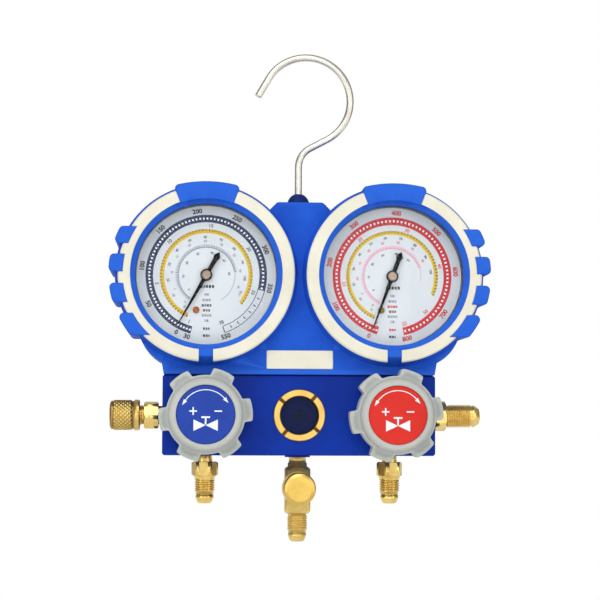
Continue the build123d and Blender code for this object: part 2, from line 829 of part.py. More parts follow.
def build_link(gauge):
    """Link from the tip of the pressure tube to the sector's tail."""
    tail = polar(tail_length, tail_angle)
    start = (tail[0], tail[1] - gear_distance)
    end = polar(tube_radius, tube_tip_angle)
    length = hypot(end[0] - start[0], end[1] - start[1])
    angle = degrees(atan2(end[1] - start[1], end[0] - start[0]))
    with BuildPart() as link:
        with BuildSketch(facing(link_back, gauge[0], gauge[2])):
            with Locations(((start[0] + end[0]) / 2, (start[1] + end[1]) / 2)):
                Rectangle(length, link_width, rotation=angle)
            with Locations(start, end):
                Circle(link_eye)
            with Locations(start, end):
                Circle(link_pin_radius + thread_play, mode=Mode.SUBTRACT)
        extrude(amount=link_thickness)
    return link


def build_hairspring(gauge):
    """Flat spiral spring: half turns about two centres half a pitch apart."""
    with BuildPart() as spring:
        with BuildSketch(facing(spring_back, gauge[0], gauge[2])):
            for half in range(2 * spring_turns):
                centre = (half % 2 * spring_pitch / 2, 0)
                inner = spring_core + half * spring_pitch / 2
                outer = inner + spring_wire
                start = 180 * (half % 2)
                near = centre[0] + (inner if start == 0 else -inner)
                far = centre[0] - (inner if start == 0 else -inner)
                step = spring_wire if start == 0 else -spring_wire
                with BuildLine():
                    CenterArc(centre, outer, start, 180)
                    Line((near, 0), (near + step, 0))
                    CenterArc(centre, inner, start, 180)
                    Line((far, 0), (far - step, 0))
                make_face()
        extrude(amount=spring_width)
    return spring


def build_pointer(gauge, needle):
    """Pointer cut from sheet: tapered needle, hub and a tail with a spade end."""
    neck = pointer_head_length - pointer_tail
    widest = pointer_head_length * 0.6 - pointer_tail
    with BuildPart() as pointer:
        along_needle = (cos(radians(needle)), 0, sin(radians(needle)))
        with BuildSketch(Plane(origin=(gauge[0], -pointer_back, gauge[2]),
                               x_dir=along_needle, z_dir=front)):
            with BuildLine():
                Polyline((-pointer_tail, 0), (widest, -pointer_head_width / 2),
                         (neck, -pointer_tail_width / 2), (0, -pointer_root_width / 2),
                         (pointer_length, -pointer_tip_width / 2),
                         (pointer_length, pointer_tip_width / 2),
                         (0, pointer_root_width / 2), (neck, pointer_tail_width / 2),
                         (widest, pointer_head_width / 2), close=True)
            make_face()
            Circle(pointer_hub_radius)
            Circle(arbor_radius + 0.6, mode=Mode.SUBTRACT)
        extrude(amount=pointer_thickness)
    return pointer


def build_bush(gauge):
    """Metal bush that grips the arbor and carries the pointer."""
    top = pointer_back + bush_height
    with BuildPart() as bush:
        turn(gauge, front, [
            (arbor_radius, pointer_back - 0.8), (arbor_radius + 0.6, pointer_back - 0.8),
            (arbor_radius + 0.6, pointer_back + pointer_thickness),
            (bush_radius, pointer_back + pointer_thickness), (bush_radius, top - 0.3),
            (bush_radius - 0.3, top), (0, top), (0, pointer_back + 1.2),
            (arbor_radius, pointer_back + 1.2),
        ])
    return bush


def build_zero_screw(gauge, zero):
    """Slotted screw in the dial that sets the pointer's zero."""
    place = (gauge[0] + zero[0], 0, gauge[2] + zero[1])
    head = dial_front + zero_screw_height
    with BuildPart() as screw:
        rod(place, front, zero_shank_radius, frame_front_back + 0.2, dial_front)
        rod(place, front, zero_screw_radius, dial_front, head)
        with BuildSketch(facing(head, place[0], place[2])):
            Rectangle(2 * zero_screw_radius + 1, zero_slot, rotation=30)
        extrude(amount=-zero_screw_height / 2, mode=Mode.SUBTRACT)
    return screw


# ---------------------------------------------------------------- valves

def build_bonnet(valve):
    """Bonnet nut that holds the stem's thread in the block."""
    hex_front = block_depth + bonnet_hex_length
    with BuildPart() as bonnet:
        rod(valve, front, bonnet_thread_radius, bonnet_inner, block_depth)
        hexagon(valve, front, bonnet_hex, block_depth, hex_front, 30)
        rod(valve, front, bonnet_neck_radius, hex_front, bonnet_outer)
        rod(valve, front, chamber_radius, bonnet_inner,
            piston_back + valve_travel + 0.5, mode=Mode.SUBTRACT)
        rod(valve, front, stem_radius + thread_play, bonnet_inner, bonnet_outer,
            mode=Mode.SUBTRACT)
    return bonnet


def build_piston(valve):
    """Piston that closes the seat, with the groove of its O-ring."""
    body = chamber_radius - thread_play
    neck = seat_forward + piston_nose_length
    groove = neck + 1.0
    with BuildPart() as piston:
        turn(valve, front, [
            (0, seat_forward), (seat_radius + 0.5, seat_forward),
            (piston_nose_radius, seat_forward + 1.0), (piston_nose_radius, neck),
            (body, neck), (body, groove), (oring_groove_radius, groove),
            (oring_groove_radius, groove + oring_groove_width),
            (body, groove + oring_groove_width), (body, piston_back),
            (stem_foot_radius + thread_play, piston_back),
            (stem_foot_radius + thread_play, piston_back - stem_foot_length),
            (0, piston_back - stem_foot_length),
        ])
    return piston


def build_oring(valve):
    """O-ring in the piston's groove."""
    middle = seat_forward + piston_nose_length + 1.0 + oring_groove_width / 2
    with BuildPart() as oring:
        lathe = Plane(origin=valve, x_dir=(1, 0, 0), z_dir=(0, 0, -1))
        with BuildSketch(lathe) as section:
            with Locations((oring_groove_radius + oring_radius + 0.05, middle)):
                Circle(oring_radius)
        revolve(section.sketch, axis=Axis(valve, front))
    return oring


def build_stem(valve):
    """Threaded stem: foot in the piston, thread in the bonnet, square in the knob."""
    with BuildPart() as stem:
        rod(valve, front, stem_foot_radius, piston_back - stem_foot_length, piston_back)
        rod(valve, front, stem_radius, piston_back, stem_shoulder)
        with BuildSketch(facing(stem_shoulder, valve[0], valve[2])):
            Rectangle(stem_square, stem_square)
        extrude(amount=stem_front - stem_shoulder)
        rod(valve, front, screw_radius, screw_seat - screw_length, stem_front,
            mode=Mode.SUBTRACT)
    return stem


def build_knob(valve, first_lobe):
    """Six-lobed knob: a lobed bar cut to a turned outline, hollow behind."""
    hub_back = stem_shoulder
    with BuildPart() as knob:
        with BuildSketch(facing(knob_back, valve[0], valve[2])) as lobes:
            with PolarLocations(knob_radius / 2, 6, start_angle=first_lobe):
                Rectangle(knob_radius, knob_lobe_width)
            with BuildSketch(mode=Mode.PRIVATE) as limit:
                Circle(knob_radius)
            add(limit.sketch, mode=Mode.INTERSECT)
            tips = lobes.vertices().filter_by(
                lambda v: hypot(v.X, v.Y) > knob_radius - 0.01)
            fillet(tips, knob_lobe_round)
            Circle(knob_valley_radius)
            roots = lobes.vertices().filter_by(
                lambda v: abs(hypot(v.X, v.Y) - knob_valley_radius) < 0.01)
            fillet(roots, knob_lobe_round)
        extrude(amount=knob_length)
        valley = radians(first_lobe + 30)
        lathe = Plane(origin=valve, x_dir=(cos(valley), 0, sin(valley)),
                      z_dir=(sin(valley), 0, -cos(valley)))
        clear_back = knob_back - outline_margin
        clear_radius = knob_radius + outline_margin
        fall = (knob_shoulder - knob_lobe_front) / (knob_radius - knob_ring_radius - 0.6)
        with BuildSketch(lathe) as half:
            with BuildLine():
                Polyline((0, clear_back), (knob_radius - knob_edge - outline_margin, clear_back),
                         (clear_radius, knob_back + knob_edge + outline_margin),
                         (clear_radius, knob_back + knob_lobe_front - fall * outline_margin),
                         (knob_ring_radius + 0.6, knob_back + knob_shoulder),
                         (knob_ring_radius, knob_front - knob_ring_round))
                RadiusArc((knob_ring_radius, knob_front - knob_ring_round),
                          (knob_ring_radius - knob_ring_round, knob_front),
                          -knob_ring_round)
                Polyline((knob_ring_radius - knob_ring_round, knob_front), (0, knob_front),
                         (0, clear_back))
            make_face()
        revolve(axis=Axis(valve, front), mode=Mode.INTERSECT)
        rod(valve, front, badge_radius + thread_play, badge_back, knob_front,
            mode=Mode.SUBTRACT)
        rod(valve, front, screw_head_radius + rubber_play, screw_seat, badge_back,
            mode=Mode.SUBTRACT)
        rod(valve, front, screw_radius + rubber_play, stem_front, screw_seat,
            mode=Mode.SUBTRACT)
        with BuildSketch(facing(knob_back, valve[0], valve[2])):
            Circle(knob_hollow_radius)
            Circle(knob_hub_radius, mode=Mode.SUBTRACT)
        extrude(amount=knob_hollow_depth, mode=Mode.SUBTRACT)
        rod(valve, front, knob_hub_radius, knob_back, hub_back, mode=Mode.SUBTRACT)
        with BuildSketch(facing(hub_back, valve[0], valve[2])):
            Rectangle(stem_square, stem_square)
        extrude(amount=stem_front - hub_back, mode=Mode.SUBTRACT)
    return knob


def build_badge(valve):
    """Coloured disc pressed into the front of a knob."""
    with BuildPart() as badge:
        rod(valve, front, badge_radius, badge_back, badge_back + badge_thickness)
        chamfer(badge.faces().sort_by(Axis.Y)[0].edges(), 0.2)
    return badge


def build_knob_screw(valve):
    """Screw that holds the knob on the stem, under the badge."""
    with BuildPart() as screw:
        rod(valve, front, screw_radius, screw_seat - screw_length, screw_seat)
        rod(valve, front, screw_head_radius, screw_seat, screw_seat + screw_head_height)
        with BuildSketch(facing(screw_seat + screw_head_height, valve[0], valve[2])):
            Rectangle(2 * screw_head_radius - 1.6, 0.8)
            Rectangle(0.8, 2 * screw_head_radius - 1.6)
        extrude(amount=-1.0, mode=Mode.SUBTRACT)
    return screw


# ---------------------------------------------------------------- sight glass

def build_sight_ring():
    """Brass ring nut with four spanner notches."""
    front_face = block_depth + sight_ring_proud
    with BuildPart() as ring:
        with BuildSketch(facing(sight_ring_back)):
            Circle(sight_ring_radius)
            Circle(sight_window_radius, mode=Mode.SUBTRACT)
        extrude(amount=sight_ring_thickness)
        chamfer(ring.faces().sort_by(Axis.Y)[0].edges(), 0.3)
        with BuildSketch(facing(front_face - notch_depth)):
            with PolarLocations((sight_ring_radius + sight_window_radius) / 2, 4,
                                start_angle=50):
                Rectangle(sight_ring_radius - sight_window_radius + 1, notch_width)
        extrude(amount=notch_depth, mode=Mode.SUBTRACT)
    return ring


def build_sight_glass():
    """Thick glass disc of the sight window."""
    with BuildPart() as glass:
        rod((0, 0, 0), front, sight_ring_radius - 0.25, sight_glass_back, sight_ring_back)
    return glass


def build_sight_seal():
    """Flat seal between the glass and the block."""
    with BuildPart() as seal:
        with BuildSketch(facing(sight_floor)):
            Circle(sight_ring_radius - 0.25)
            Circle(sight_ring_radius - 0.25 - sight_seal_width, mode=Mode.SUBTRACT)
        extrude(amount=sight_seal_thickness)
    return seal


# ---------------------------------------------------------------- ports, tee and caps

def flare_thread_end(origin, outward, start, bore_from, bore=flare_bore):
    """Thread, relief and nose of a 1/4 SAE flare port, bored through."""
    outline = [(0, start)] + flare_end(flare_radius, flare_thread, start,
                                       flare_nose_radius, flare_tip_radius, flare_nose)
    turn(origin, outward, outline + [(0, outline[-1][1])])
    rod(origin, outward, bore, bore_from, outline[-1][1], mode=Mode.SUBTRACT)


def build_hose_port(x, hex_turn):
    """Hose port under a valve."""
    origin = (x, -port_forward, block_bottom)
    hex_end = hose_neck + hose_hex_length
    with BuildPart() as port:
        rod(origin, down, pipe_radius, -pipe_length, 0)
        rod(origin, down, hose_neck_radius, 0, hose_neck)
        hexagon(origin, down, hose_hex, hose_neck, hex_end, hex_turn)
        flare_thread_end(origin, down, hex_end, -pipe_length)
    return port


def build_side_port():
    """Capped port on the low-pressure end of the block."""
    origin = (-block_half_width, -port_forward, 0)
    left = (-1, 0, 0)
    hex_end = side_neck + side_hex_length
    with BuildPart() as port:
        rod(origin, left, pipe_radius, -pipe_length, 0)
        rod(origin, left, side_neck_radius, 0, side_neck)
        hexagon(origin, left, side_hex, side_neck, hex_end, 20)
        flare_thread_end(origin, left, hex_end, -pipe_length)
    return port


def build_large_port():
    """Open 5/16 SAE port on the high-pressure end of the block."""
    origin = (block_half_width, -port_forward, 0)
    right = (1, 0, 0)
    hex_end = large_neck + large_hex_length
    thread_end = hex_end + large_thread
    tip = thread_end + large_nose
    with BuildPart() as port:
        rod(origin, right, pipe_radius, -pipe_length, 0)
        rod(origin, right, side_neck_radius + 1.0, 0, large_neck)
        hexagon(origin, right, large_hex, large_neck, hex_end, 10)
        turn(origin, right, [
            (0, hex_end), (large_radius, hex_end), (large_radius, thread_end),
            (large_radius - 0.8, thread_end + large_nose * 0.45),
            (large_tip_radius + 1.6, tip - large_nose * 0.1),
            (large_tip_radius, tip), (0, tip),
        ])
        rod(origin, right, large_bore, -pipe_length, tip, mode=Mode.SUBTRACT)
    return port


def build_tee():
    """Centre hose tee: forged body with one branch forward and one down."""
    origin = (0, -port_forward, block_bottom)
    low = tee_bottom
    branch = (0, 0, block_bottom - tee_branch_drop)
    top = boss_height + tee_neck
    half = tee_width / 2
    with BuildPart() as tee:
        rod(origin, down, pipe_radius, boss_height - pipe_length, boss_height)
        turn(origin, down, [
            (0, boss_height), (tee_neck_radius - 0.6, boss_height),
            (tee_neck_radius - 0.6, boss_height + tee_neck * 0.55),
            (tee_neck_radius, boss_height + tee_neck * 0.6), (tee_neck_radius, top), (0, top),
        ])
        with BuildSketch(level(block_bottom - low)):
            Rectangle(tee_width, tee_width)
        extrude(amount=tee_length)
        body = tee.edges().filter_by(Axis.Z).filter_by(
            lambda e: abs((e @ 0.5).X) > half - 0.01)
        chamfer(body, tee_corner)
        inner = half - tee_end_flat
        outer = half + tee_end_reach
        for end, taper in ((top, tee_end_taper), (low, -tee_end_taper)):
            corner = [(inner, end), (outer, end), (outer, end + taper)]
            turn(origin, down, corner, mode=Mode.SUBTRACT)
        flare_thread_end(origin, down, low, boss_height - pipe_length)
        flare_thread_end(branch, front, port_forward + half, port_forward, branch_bore)
    return tee


def cap_outline(radius):
    """Half outline of a cap from its open end: flange, groove, grip and corner."""
    inner = flare_radius + thread_play
    length = cap_length
    return [
        (inner, 0), (radius - 0.5, 0), (radius, 0.5), (radius, cap_flange),
        (radius - cap_groove_depth, cap_flange + 0.2),
        (radius - cap_groove_depth, cap_flange + cap_groove),
        (radius - 0.2, cap_flange + cap_groove + 0.4),
        (radius - 0.2, length - cap_corner),
        (radius - 0.2 - cap_corner * 0.35, length - cap_corner * 0.35),
        (radius - 0.2 - cap_corner, length), (0, length),
        (0, cap_skirt + cap_seal_thickness), (inner, cap_skirt + cap_seal_thickness),
    ]


def build_cap(open_end, outward, radius):
    """Knurled cap of a flare port."""
    with BuildPart() as cap:
        turn(open_end, outward, cap_outline(radius))
    return cap


def build_cap_seal(open_end, outward):
    """Round seal inside a cap, against the port's nose."""
    with BuildPart() as seal:
        rod(open_end, outward, cap_seal_radius, cap_skirt,
            cap_skirt + cap_seal_thickness)
    return seal


# ---------------------------------------------------------------- hook

def build_hook():
    """Bent wire hook that swivels on its straight stem."""
    foot = block_top - hook_seat
    bend = tower_top + hook_rise
    middle = (foot + bend) / 2
    with BuildPart() as hook:
        with BuildLine(facing(port_forward)) as path:
            stem = Line((0, foot), (0, bend))
            turn_out = JernArc(stem @ 1, stem % 1, hook_bend_radius, -hook_bend_angle)
            neck = Line(turn_out @ 1, turn_out @ 1 + (turn_out % 1) * hook_neck)
            bow = JernArc(neck @ 1, neck % 1, hook_radius, hook_wrap)
            Line(bow @ 1, bow @ 1 + (bow % 1) * hook_tip)
        with BuildSketch(level(foot)):
            Circle(hook_wire)
        sweep(path=path.line)
        tip = hook.faces().filter_by(GeomType.PLANE).sort_by(
            lambda f: abs(f.center().Z - foot))[-1]
        fillet(tip.edges(), hook_wire * 0.45)
    return hook


def build_hook_socket():
    """Brass socket in the block that the hook's stem turns in."""
    base = (0, -port_forward, 0)
    low = block_top - hook_seat - socket_floor
    with BuildPart() as socket:
        rod(base, up, socket_radius, low, low + socket_length)
        chamfer(socket.faces().sort_by(Axis.Z)[-1].edges(), 0.4)
        rod(base, up, hook_wire + thread_play, low + socket_floor, low + socket_length,
            mode=Mode.SUBTRACT)
    return socket


def build_collar():
    """Domed collar where the hook leaves the boot."""
    base = (0, -port_forward, tower_top)
    hole = hook_wire + 0.3
    with BuildPart() as collar:
        lathe = Plane(origin=base, x_dir=(1, 0, 0), z_dir=(0, -1, 0))
        with BuildSketch(lathe) as half:
            with BuildLine():
                Line((hole, 0), (collar_radius, 0))
                ThreePointArc((collar_radius, 0),
                              (collar_radius * 0.86, collar_height * 0.6),
                              (collar_radius * 0.42, collar_height))
                Polyline((collar_radius * 0.42, collar_height), (hole, collar_height),
                         (hole, 0))
            make_face()
        revolve(half.sketch, axis=Axis(base, up))
    return collar


# ---------------------------------------------------------------- the whole manifold

save(build_block(), "manifold_block")
save(build_boot(), "gauge_boot")
save(build_inlays(), "ring_inlays")
save(build_centre_plate(), "centre_plate")
for side_name, side in sides.items():
    gauge_axis = (side["sign"] * port_pitch, 0, gauge_height)
    valve_axis = (side["sign"] * port_pitch, 0, 0)
    save(build_case(gauge_axis), f"{side_name}_gauge_case")
    save(build_lens(gauge_axis), f"{side_name}_gauge_lens")
    save(build_dial(gauge_axis, side["zero"]), f"{side_name}_dial")
    save(build_socket(gauge_axis), f"{side_name}_gauge_socket")
    save(build_tube(gauge_axis), f"{side_name}_bourdon_tube")
    save(build_frame(gauge_axis, side["zero"]), f"{side_name}_movement_frame")
    save(build_pinion(gauge_axis), f"{side_name}_pinion")
    save(build_sector(gauge_axis), f"{side_name}_sector_gear")
    save(build_link(gauge_axis), f"{side_name}_link")
    save(build_hairspring(gauge_axis), f"{side_name}_hairspring")
    save(build_pointer(gauge_axis, side["needle"]), f"{side_name}_pointer")
    save(build_bush(gauge_axis), f"{side_name}_pointer_bush")
    save(build_zero_screw(gauge_axis, side["zero"]), f"{side_name}_zero_screw")
    save(build_bonnet(valve_axis), f"{side_name}_bonnet")
    save(build_piston(valve_axis), f"{side_name}_piston")
    save(build_oring(valve_axis), f"{side_name}_piston_oring")
    save(build_stem(valve_axis), f"{side_name}_stem")
    save(build_knob(valve_axis, side["lobes"]), f"{side_name}_knob")
    save(build_badge(valve_axis), f"{side_name}_knob_badge")
    save(build_knob_screw(valve_axis), f"{side_name}_knob_screw")
    save(build_hose_port(valve_axis[0], side["hex_turn"]), f"{side_name}_hose_port")
save(build_sight_ring(), "sight_glass_ring")
save(build_sight_glass(), "sight_glass")
save(build_sight_seal(), "sight_glass_seal")
save(build_tee(), "centre_tee")
save(build_side_port(), "left_side_port")
save(build_large_port(), "right_side_port")
branch_open = (0, -(port_forward + tee_width / 2 + cap_standoff),
               block_bottom - tee_branch_drop)
side_open = (-(block_half_width + side_neck + side_hex_length + cap_standoff),
             -port_forward, 0)
save(build_cap(branch_open, front, branch_cap_radius), "centre_cap")
save(build_cap_seal(branch_open, front), "centre_cap_seal")
save(build_cap(side_open, (-1, 0, 0), cap_radius), "side_cap")
save(build_cap_seal(side_open, (-1, 0, 0)), "side_cap_seal")
save(build_hook(), "hook")
save(build_hook_socket(), "hook_socket")
save(build_collar(), "hook_collar")
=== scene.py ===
"""Looks of the refrigerant manifold gauge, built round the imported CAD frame.

Sizes are in millimetres in the part's own frame, with +Z up and -Y towards the user, and
are scaled to metres where they meet Blender.
"""
from math import ceil, cos, pi, radians, sin

import bmesh
import bpy
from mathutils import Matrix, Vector


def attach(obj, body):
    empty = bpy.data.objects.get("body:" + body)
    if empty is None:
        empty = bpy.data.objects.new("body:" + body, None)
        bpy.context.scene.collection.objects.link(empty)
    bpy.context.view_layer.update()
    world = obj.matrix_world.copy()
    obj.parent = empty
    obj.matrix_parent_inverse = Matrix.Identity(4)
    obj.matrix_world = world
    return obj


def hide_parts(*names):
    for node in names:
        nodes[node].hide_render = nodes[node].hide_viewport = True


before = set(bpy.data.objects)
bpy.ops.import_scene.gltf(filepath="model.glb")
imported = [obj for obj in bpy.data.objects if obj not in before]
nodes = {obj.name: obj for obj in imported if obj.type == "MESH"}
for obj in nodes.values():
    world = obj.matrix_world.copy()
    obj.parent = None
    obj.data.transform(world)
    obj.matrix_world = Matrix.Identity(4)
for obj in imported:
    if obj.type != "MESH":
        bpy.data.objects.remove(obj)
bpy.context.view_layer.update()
scene = bpy.context.scene

MM = 0.001
SIDES = {"low": -1, "high": 1}
FRONT, DOWN, LEFT, RIGHT = (0, -1, 0), (0, 0, -1), (-1, 0, 0), (1, 0, 0)

PITCH = 50.8            # valve and gauge axes from the middle
GAUGE_Z = 76.0          # height of the gauge axes
PORT_Y = -18.0          # depth of the ports' axes
TEE_Z = -39.5           # height of the tee's front port
DIAL_FRONT = 32.0       # forward of the back face
BADGE_FRONT = 61.4

THREAD_PITCH = 1.27
THREAD_DEPTH = 0.62
QUARTER_SAE = 5.55      # radius of a 7/16-20 thread
FIVE_SIXTEENTHS_SAE = 6.35

SHARP_ANGLE = 32.0      # degrees, above which an edge stays sharp
THREAD_STEPS = 40       # facets in one turn of thread
CONE_STEPS = 48
ARC_STEP = 2.0          # degrees in one facet of a printed arc


# ---------------------------------------------------------------- colours and materials

def srgb(r, g, b):
    """sRGB bytes to a linear colour."""
    out = []
    for value in (r, g, b):
        v = value / 255
        out.append(v / 12.92 if v <= 0.04045 else ((v + 0.055) / 1.055) ** 2.4)
    return (*out, 1.0)


class Shader:
    """Small helper round the node tree of a material, or of the world."""

    def __init__(self, name, world=False):
        self.owner = (bpy.data.worlds if world else bpy.data.materials).new(name)
        self.owner.use_nodes = True
        self.tree = self.owner.node_tree
        self.tree.nodes.clear()
        self.output = self.node(f"ShaderNodeOutput{'World' if world else 'Material'}")

    def node(self, kind, **values):
        """A new node, with the values of its inputs and settings by name."""
        made = self.tree.nodes.new(kind)
        for key, value in values.items():
            name = key.replace("_", " ")
            if name in made.inputs:
                made.inputs[name].default_value = value
            else:
                setattr(made, key, value)
        return made

    def link(self, source, target):
        self.tree.links.new(source, target)

    def feed(self, value, target):
        """Gives an input a plain value, or links it where the value is a socket."""
        if isinstance(value, bpy.types.NodeSocket):
            self.link(value, target)
        else:
            target.default_value = value

    def principled(self, **values):
        made = self.node("ShaderNodeBsdfPrincipled", **values)
        self.link(made.outputs[0], self.output.inputs[0])
        return made

    def noise(self, vector, scale, detail=3.0, roughness=0.55):
        made = self.node("ShaderNodeTexNoise", Scale=scale, Detail=detail,
                         Roughness=roughness)
        self.link(vector, made.inputs["Vector"])
        return made.outputs["Fac"]

    def spread(self, value, low, high, start=0.3, end=0.7):
        """Maps the stretch from start to end onto the one from low to high."""
        made = self.node("ShaderNodeMapRange", From_Min=start, From_Max=end, To_Min=low,
                         To_Max=high)
        self.link(value, made.inputs["Value"])
        return made.outputs["Result"]

    def mix(self, factor, first, second):
        """Mixes two colours."""
        made = self.node("ShaderNodeMix", data_type="RGBA")
        self.feed(first, made.inputs[6])
        self.feed(second, made.inputs[7])
        self.link(factor, made.inputs[0])
        return made.outputs[2]

    def place(self):
        """Coordinates that stay with the piece."""
        return self.node("ShaderNodeTexCoord").outputs["Object"]

    def part(self, vector, axis):
        """One component of a vector."""
        made = self.node("ShaderNodeSeparateXYZ")
        self.link(vector, made.inputs[0])
        return made.outputs[axis]

    def bump(self, height, strength, distance, normal=None):
        made = self.node("ShaderNodeBump", Strength=strength, Distance=distance)
        self.link(height, made.inputs["Height"])
        if normal is not None:
            self.link(normal, made.inputs["Normal"])
        return made.outputs["Normal"]

    def bevel(self, radius):
        """A normal that rounds edges off, by a radius in millimetres."""
        return self.node("ShaderNodeBevel", samples=4, Radius=radius * MM).outputs["Normal"]

    def math(self, operation, *values):
        made = self.node("ShaderNodeMath", operation=operation)
        for target, value in zip(made.inputs, values):
            self.feed(value, target)
        return made.outputs[0]

    def blend(self, factor, first, second):
        """Mixes two shaders."""
        made = self.node("ShaderNodeMixShader")
        self.link(factor, made.inputs[0])
        self.link(first, made.inputs[1])
        self.link(second, made.inputs[2])
        return made.outputs[0]

    def round_axis(self, origin, axis):
        """Distances along and out from an axis, so that a texture runs round it."""
        moved = self.vector_math("SUBTRACT", self.place(), [v * MM for v in origin])
        along = self.vector_math("DOT_PRODUCT", moved.outputs[0], axis)
        crossed = self.vector_math("CROSS_PRODUCT", moved.outputs[0], axis)
        out = self.vector_math("LENGTH", crossed.outputs[0])
        joined = self.node("ShaderNodeCombineXYZ")
        self.link(along.outputs["Value"], joined.inputs[0])
        self.link(out.outputs["Value"], joined.inputs[1])
        return joined.outputs[0]

    def vector_math(self, operation, *values):
        made = self.node("ShaderNodeVectorMath", operation=operation)
        for target, value in zip(made.inputs, values):
            self.feed(value, target)
        return made


# dark brown, laid as painted shade into front hollows and into knurl valleys
PAINTED_SHADE = srgb(88, 58, 26)


def plastic(name, color, dark, rough, grain=2600.0, depth=0.03, bevel=0.3, specular=0.4,
            edge_tint=None, lobe_shade=None):
    """Moulded plastic or rubber: fine grain, faint mottling and, where asked, lighter sharp
    edges.

    The last argument but one is a colour laid on sharp edges, lighter than the body; on the
    knobs it is a painted highlight. The last is for a knob: a point on its axis, the radii
    between which it darkens, and the darker colour outside them, painted shade on the set-back
    lobes.
    """
    s = Shader(name)
    place = s.place()
    shade = s.spread(s.noise(place, 55.0, 4.0), 0.0, 1.0, 0.35, 0.68)
    body = s.principled(Specular_IOR_Level=specular)
    tone = s.mix(shade, color, dark)
    # painted shade: the knob's set-back lobes darken outward from its front ring
    if lobe_shade is not None:
        origin, inner, outer, lobe_shade_colour = lobe_shade
        radius = s.part(s.round_axis(origin, FRONT), "Y")
        tone = s.mix(s.spread(radius, 0.0, 1.0, inner * MM, outer * MM), tone, lobe_shade_colour)
    # sharp convex edges take a lighter colour; on the knobs this is a painted highlight
    if edge_tint is not None:
        edge = s.node("ShaderNodeNewGeometry").outputs["Pointiness"]
        tone = s.mix(s.spread(edge, 0.0, 0.6, 0.515, 0.56), tone, edge_tint)
    s.link(tone, body.inputs["Base Color"])
    s.link(s.spread(s.noise(place, 240.0, 3.0), rough - 0.06, rough + 0.06),
           body.inputs["Roughness"])
    normal = s.bump(s.noise(place, grain, 2.0), 0.35, depth * MM, s.bevel(bevel))
    s.link(normal, body.inputs["Normal"])
    return s.owner


def turned(name, color, dark, rough, origin, axis, lines=1500.0, depth=0.006, bevel=0.15,
           recess=None, grooves=None, metallic=0.86):
    """Turned metal: faint tool marks that run round the axis of the piece.

    Recess holds the forward distances between which a painted shade of dark brown fades out in
    a front recess, and grooves the radii between which it fades out in grooves round the axis:
    shade painted into hollows and knurl valleys.
    """
    s = Shader(name)
    place = s.place()
    polar = s.round_axis(origin, axis)
    rings = s.noise(polar, lines, 2.0, 0.7)
    body = s.principled(Metallic=metallic)
    patch = s.spread(s.noise(place, 130.0, 4.0), 0.0, 1.0, 0.38, 0.72)
    tone = s.mix(patch, color, dark)
    # painted shade: dark brown deep in a front hollow, such as the notches of the sight-glass
    # ring
    if recess is not None:
        deep, shallow = recess
        unshaded = s.spread(s.part(place, "Y"), 0.0, 1.0, -deep * MM, -shallow * MM)
        tone = s.mix(unshaded, PAINTED_SHADE, tone)
    # painted shade: dark brown in the valleys of a knurl
    if grooves is not None:
        deep, shallow = grooves
        radius = s.part(polar, "Y")
        above = s.spread(radius, 0.0, 1.0, deep * MM, shallow * MM)
        inside = s.spread(radius, 1.0, 0.0, (deep - 0.3) * MM, (deep - 0.2) * MM)
        tone = s.mix(s.math("MAXIMUM", above, inside), PAINTED_SHADE, tone)
    s.link(tone, body.inputs["Base Color"])
    s.link(s.spread(rings, rough - 0.04, rough + 0.06), body.inputs["Roughness"])
    s.link(s.bump(rings, 0.4, depth * MM, s.bevel(bevel)), body.inputs["Normal"])
    return s.owner


def brushed(name, color, dark, rough):
    """Cast or drawn metal with a fine, even grain."""
    s = Shader(name)
    place = s.place()
    body = s.principled(Metallic=0.9)
    s.link(s.mix(s.spread(s.noise(place, 90.0), 0.0, 1.0), color, dark),
           body.inputs["Base Color"])
    s.link(s.spread(s.noise(place, 300.0), rough - 0.04, rough + 0.05),
           body.inputs["Roughness"])
    s.link(s.bump(s.noise(place, 900.0, 3.0), 0.3, 0.004 * MM, s.bevel(0.15)),
           body.inputs["Normal"])
    return s.owner


def anodised():
    """Deep blue anodised aluminium with fine drawing lines along the bar."""
    s = Shader("anodised_blue")
    place = s.place()
    scaled = s.node("ShaderNodeMapping", Scale=(30.0, 1600.0, 1600.0))
    s.link(place, scaled.inputs["Vector"])
    lines = s.noise(scaled.outputs[0], 1.0, 3.0)
    body = s.principled(Metallic=0.0, Specular_IOR_Level=0.12)
    cloud = s.spread(s.noise(place, 26.0, 3.0), 0.0, 1.0, 0.35, 0.7)
    s.link(s.mix(cloud, srgb(2, 52, 166), srgb(3, 42, 142)), body.inputs["Base Color"])
    s.link(s.spread(lines, 0.36, 0.48), body.inputs["Roughness"])
    s.link(s.bump(lines, 0.4, 0.008 * MM, s.bevel(0.25)), body.inputs["Normal"])
    return s.owner


def glass(name, color, rough, index, clearness, swirl):
    """Clear moulded lens or glass with a faint swirl."""
    s = Shader(name)
    body = s.principled(Base_Color=color, Roughness=rough, IOR=index,
                        Transmission_Weight=clearness)
    s.link(s.bump(s.noise(s.place(), swirl, 1.0), 0.1, 0.004 * MM), body.inputs["Normal"])
    return s.owner


def ink(name, color):
    """Printed ink with slightly uneven cover."""
    s = Shader(name)
    body = s.principled(Roughness=0.5, Specular_IOR_Level=0.3)
    pale = tuple(min(1.0, c + 0.05) for c in color[:3]) + (1.0,)
    s.link(s.mix(s.spread(s.noise(s.place(), 900.0, 2.0), 0.0, 0.6), color, pale),
           body.inputs["Base Color"])
    return s.owner


BRASS = srgb(234, 205, 124)
BRASS_DARK = srgb(212, 176, 94)
STEEL = srgb(222, 219, 208)
STEEL_DARK = srgb(196, 192, 178)

